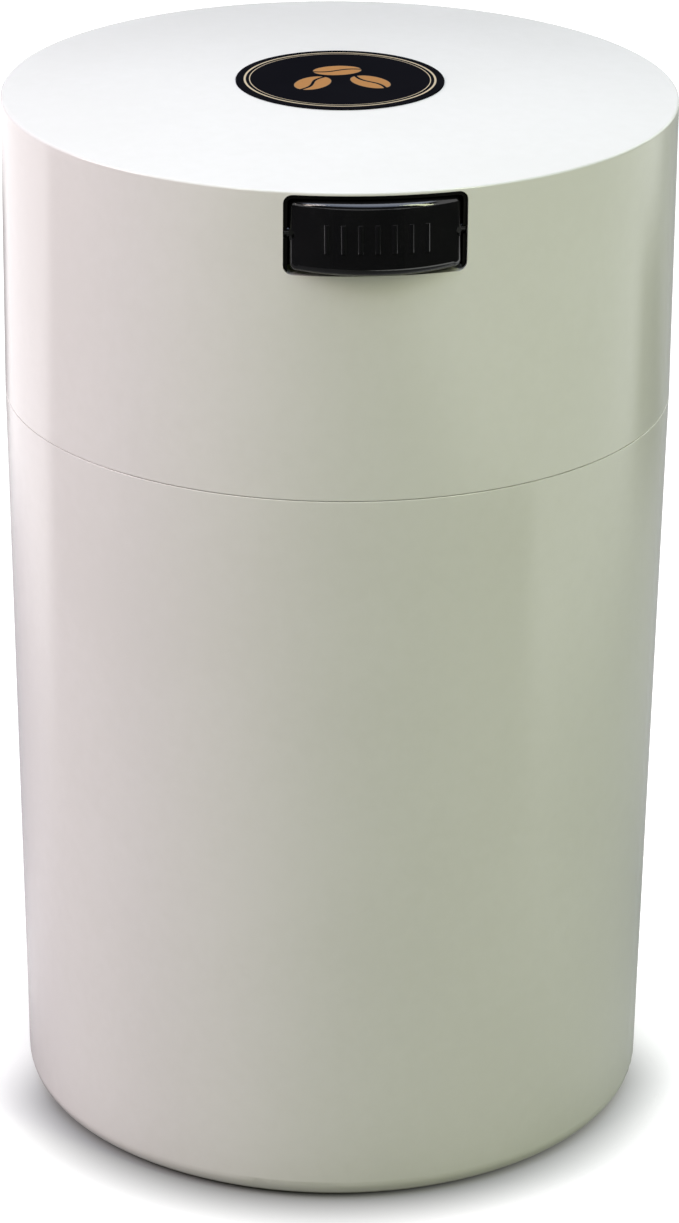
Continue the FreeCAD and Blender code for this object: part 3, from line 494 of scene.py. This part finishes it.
def label_film(settings):
    """Printed film: two thin rings and three beans."""
    finish = Finish("label_film", IOR=1.5, Specular_IOR_Level=0.0)
    across, up, _ = finish.axes()
    across, up = across / MM, up / MM
    reach = (across * across + up * up) ** 0.5
    radius = settings.ring_radius / MM
    outer = 1 - abs(reach - radius).ramp(*OUTER_RING)
    inner = 1 - abs(reach - (radius - RING_GAP)).ramp(*INNER_RING)
    half_length, half_width = settings.bean_length / 2 / MM, settings.bean_width / 2 / MM
    beans = []
    for middle_x, middle_y, turn in BEANS:
        cos, sin = math.cos(math.radians(turn)), math.sin(math.radians(turn))
        along = (across - middle_x) * cos + (up - middle_y) * sin
        aside = (up - middle_y) * cos - (across - middle_x) * sin
        body = 1 - ((along / half_length) ** 2 + (aside / half_width) ** 2).ramp(*BEAN_EDGE)
        cleft = abs(aside - (along * CLEFT_WAVE).sine() * CLEFT_SWAY).ramp(*CLEFT_EDGE)
        beans.append(body * cleft)
    beans = largest(beans)
    ink = finish.blend(beans, settings.line_ink, settings.bean_ink)
    inked = largest([outer, inner, beans])
    wear = finish.noise(scale=900, detail=3, roughness=0.7)
    film = finish.blend(finish.noise(scale=60), settings.film, settings.film_haze)
    finish.set("Base Color", finish.blend(inked * (0.86 + wear * 0.14), film, ink))
    smudge = finish.noise(scale=90, detail=3).ramp(0.4, 0.7)
    scratch = finish.hairlines(turn=(0.0, 0.0, 0.7))
    finish.set("Roughness", 0.20 + inked * 0.10 + smudge * 0.07 + scratch * 0.1)
    finish.bump(inked * 0.6 + finish.noise(scale=180) * 0.6, 0.01 * MM)
    return finish.material


def dress(node, material):
    """Give a CAD node a finish."""
    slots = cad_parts[node].data.materials
    slots.clear()
    slots.append(material)


class CANISTER_OT_shells(Operator):
    """Finish the cup, the neck and the cap"""

    bl_idname = "canister.shells"
    bl_label = "Cup, neck and cap"

    def execute(self, context):
        material = white_plastic(context.scene.canister_white)
        for node in ("container_body", "neck_collar", "cap_shell"):
            dress(node, material)
        return {"FINISHED"}


class CANISTER_OT_label(Operator):
    """Print the label"""

    bl_idname = "canister.label"
    bl_label = "Label"

    def execute(self, context):
        dress("cap_label", label_film(context.scene.canister_label))
        return {"FINISHED"}


class CANISTER_OT_valve(Operator):
    """Finish the button and its housing"""

    bl_idname = "canister.valve"
    bl_label = "Valve"

    def execute(self, context):
        settings = context.scene.canister_black
        dress("rocker_button", gloss_black(settings))
        dress("valve_housing", satin_black(settings))
        return {"FINISHED"}


class CANISTER_OT_rubber(Operator):
    """Finish the valve's pad and gasket, and the seal ring"""

    bl_idname = "canister.rubber"
    bl_label = "Rubber pieces"

    def execute(self, context):
        settings = context.scene.canister_rubber
        black = rubber("black_rubber", settings.black, settings.black_bloom, settings.black_roughness)
        dress("valve_pad", black)
        dress("vent_gasket", black)
        pale = rubber("seal_rubber", settings.seal, settings.seal_bloom, settings.seal_roughness)
        dress("neck_seal", pale)
        return {"FINISHED"}


class CANISTER_OT_spring(Operator):
    """Make the return spring: a merged, smooth copy of the CAD spring, hung on the cap"""

    bl_idname = "canister.spring"
    bl_label = "Return spring"

    def execute(self, context):
        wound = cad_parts["return_spring"].data.copy()
        coil = bpy.data.objects.new("return_coil", wound)
        context.scene.collection.objects.link(coil)
        bpy.ops.object.select_all(action="DESELECT")
        context.view_layer.objects.active = coil
        coil.select_set(True)
        bpy.ops.object.mode_set(mode="EDIT")
        bpy.ops.mesh.select_all(action="SELECT")
        bpy.ops.mesh.remove_doubles(threshold=0.001 * MM)
        bpy.ops.object.mode_set(mode="OBJECT")
        bpy.ops.object.shade_smooth()
        wound.materials.clear()
        wound.materials.append(spring_wire(context.scene.canister_wire))
        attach(coil, "cap")
        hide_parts("return_spring")
        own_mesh(coil)
        return {"FINISHED"}


def heading(turn, rise):
    """The direction at an angle to the right of the button's front and an angle up, in radians."""
    return Vector((math.sin(turn) * math.cos(rise), -math.cos(turn) * math.cos(rise), math.sin(rise)))


def around(azimuth, elevation, distance, middle=MIDDLE):
    """A point round the canister: degrees to the right of the button's front, degrees up, metres."""
    return Vector(middle) + heading(math.radians(azimuth), math.radians(elevation)) * distance


def facing(place, aim=MIDDLE):
    """The placement of something at a place whose +Z side looks towards a point."""
    way = (Vector(aim) - place).normalized()
    return Matrix.Translation(place) @ way.to_track_quat("Z", "Y").to_matrix().to_4x4()


def add_plane(name, size):
    """A square plane on the floor."""
    bpy.ops.object.select_all(action="DESELECT")
    bpy.ops.mesh.primitive_plane_add(size=size)
    plane = bpy.context.object
    plane.name = name
    return plane


def softbox(name, place, size, level, colour, mirrored):
    """A rectangular lamp whose face has the given brightness, 1 being white."""
    lamp = bpy.data.lights.new(name, "AREA")
    lamp.shape = "RECTANGLE"
    lamp.size, lamp.size_y = size
    lamp.energy = level * math.pi * size[0] * size[1]
    lamp.color = colour
    holder = bpy.data.objects.new(name, lamp)
    bpy.context.scene.collection.objects.link(holder)
    holder.matrix_world = facing(place) @ Matrix.Rotation(math.pi, 4, "X")
    holder.visible_camera = False
    holder.visible_glossy = mirrored


def flag(name, placement, size, grey, fade=0.02):
    """A grey studio card that only reflections show. Its edges fade out over a share of its size."""
    card = add_plane(name, 1)
    card.matrix_world = placement @ Matrix.Diagonal((*size, 1, 1))
    finish = Finish(name, Base_Color=(grey, grey, grey, 1), Roughness=1, Specular_IOR_Level=0)
    across, up, _ = finish.axes()
    finish.set("Alpha", (0.5 - abs(across)).ramp(0, fade) * (0.5 - abs(up)).ramp(0, fade))
    card.data.materials.append(finish.material)
    card.visible_camera = card.visible_diffuse = card.visible_shadow = False
    card.visible_transmission = card.visible_volume_scatter = False


class CANISTER_OT_stage(Operator):
    """Set up the floor, the lamps and the camera"""

    bl_idname = "canister.stage"
    bl_label = "Stage"

    def execute(self, context):
        settings = context.scene.canister_stage
        self.add_floor(settings)
        self.add_world(context.scene, settings)
        self.add_lamps()
        self.add_cards()
        self.add_camera(context.scene, settings)
        context.scene.view_settings.view_transform = "Standard"
        return {"FINISHED"}

    def add_floor(self, settings):
        """A pale floor that shows white, with a painted shadow round the foot on top of the real one: the
        floor's colour darkens and its white glow fades towards the foot.
        """
        floor = add_plane("floor", FLOOR_SIZE)
        finish = Finish("floor", Roughness=0.9, Specular_IOR_Level=0, Emission_Strength=1)
        # Painted shadow round the foot: clear is 0 in the full painted shadow and 1 where the floor is free
        # of it
        reach = finish.node("ShaderNodeVectorMath", {"operation": "DISTANCE"},
                            {0: finish.place, 1: PAINTED_SHADOW_MIDDLE}, "Value")
        clear = finish.node(
            "ShaderNodeMapRange", None,
            {"Value": reach, "From Min": settings.painted_shadow_start, "From Max": settings.painted_shadow_end})
        _, depth, _ = finish.axes()
        clear = clear + (1 - clear) * depth.ramp(PAINTED_SHADOW_LIFT_START, PAINTED_SHADOW_LIFT_END) * PAINTED_SHADOW_LIFT
        # Painted shadow in the floor's colour, and the white glow held back inside it
        finish.set("Base Color", finish.blend(clear, settings.painted_shadow_colour, settings.floor_colour))
        finish.set("Emission Color", finish.blend(finish.shown_ray() * clear, BLACK, WHITE))
        floor.data.materials.append(finish.material)

    def add_world(self, scene, settings):
        """Even light from all round, which shows as white."""
        world = bpy.data.worlds.new("studio")
        world.use_nodes = True
        wiring = Wiring(world.node_tree)
        sky = wiring.tree.nodes["Background"]
        wiring.feed(sky, {"Color": (*WHITE, 1), "Strength": settings.sky_level})
        lit = Value(wiring, sky.outputs[0])
        white = wiring.node("ShaderNodeBackground", None, {"Color": (*WHITE, 1), "Strength": 1})
        mix = wiring.node("ShaderNodeMixShader", None, {0: wiring.shown_ray(), 1: lit, 2: white})
        wiring.feed(wiring.tree.nodes["World Output"], {"Surface": mix})
        scene.world = world

    def add_lamps(self):
        """The soft lamps round the canister."""
        for name, (azimuth, elevation, distance, *face) in LAMPS.items():
            softbox(name, around(azimuth, elevation, distance), *face)

    def add_cards(self):
        """The cards that shape the reflections."""
        for azimuth, grey in FRONT_CARDS.items():
            place = around(azimuth, 0, FRONT_CARD_AWAY, (0, 0, FRONT_CARD_HEIGHT))
            upright = facing(place, (0, 0, place.z))
            flag(f"front_card_{azimuth}", upright, FRONT_CARD_SIZE, grey)
        for name, (azimuth, elevation, distance, *face) in SLANTING_CARDS.items():
            flag(name, facing(around(azimuth, elevation, distance)), *face)
        for name, (azimuth, middle, *face) in FLOOR_CARDS.items():
            turned = Matrix.Rotation(math.radians(azimuth), 4, "Z")
            flag(f"floor_card_{name}", turned @ Matrix.Translation(middle), *face)

    def add_camera(self, scene, settings):
        """The camera, which stands off from the canister and then slides and rolls."""
        right = Vector((math.cos(settings.azimuth), math.sin(settings.azimuth), 0))
        back = heading(settings.azimuth, settings.elevation)
        up = back.cross(right)
        place = Vector((0, 0, settings.middle_height)) + back * settings.distance
        place += right * settings.slide[0] + up * settings.slide[1]
        cos, sin = math.cos(settings.roll), math.sin(settings.roll)
        turned = Matrix((right * cos + up * sin, up * cos - right * sin, back)).transposed()
        lens = bpy.data.cameras.new("camera")
        lens.sensor_width = SENSOR_WIDTH
        lens.lens = settings.lens
        lens.clip_start = CLIP_START
        camera = bpy.data.objects.new("camera", lens)
        scene.collection.objects.link(camera)
        camera.matrix_world = Matrix.Translation(place) @ turned.to_4x4()
        scene.camera = camera


class CANISTER_PT_panel(Panel):
    """The canister's pieces in the sidebar"""

    bl_label = "Coffee canister"
    bl_idname = "CANISTER_PT_panel"
    bl_space_type = "VIEW_3D"
    bl_region_type = "UI"
    bl_category = "Canister"

    def draw(self, context):
        for operator in OPERATORS:
            self.layout.operator(operator.bl_idname)


GROUPS = {
    "canister_white": WhitePlastic,
    "canister_label": LabelPrint,
    "canister_black": BlackPlastic,
    "canister_rubber": RubberPieces,
    "canister_wire": SpringWire,
    "canister_stage": StudioStage,
}
OPERATORS = (CANISTER_OT_shells, CANISTER_OT_label, CANISTER_OT_valve, CANISTER_OT_rubber,
             CANISTER_OT_spring, CANISTER_OT_stage)


def register():
    for name, group in GROUPS.items():
        bpy.utils.register_class(group)
        setattr(bpy.types.Scene, name, PointerProperty(type=group))
    for operator in OPERATORS:
        bpy.utils.register_class(operator)
    bpy.utils.register_class(CANISTER_PT_panel)


def unregister():
    bpy.utils.unregister_class(CANISTER_PT_panel)
    for operator in reversed(OPERATORS):
        bpy.utils.unregister_class(operator)
    for name, group in reversed(GROUPS.items()):
        delattr(bpy.types.Scene, name)
        bpy.utils.unregister_class(group)


def main():
    register()
    bpy.ops.canister.shells()
    bpy.ops.canister.label()
    bpy.ops.canister.valve()
    bpy.ops.canister.rubber()
    bpy.ops.canister.spring()
    bpy.ops.canister.stage()


if __name__ == "__main__":
    main()
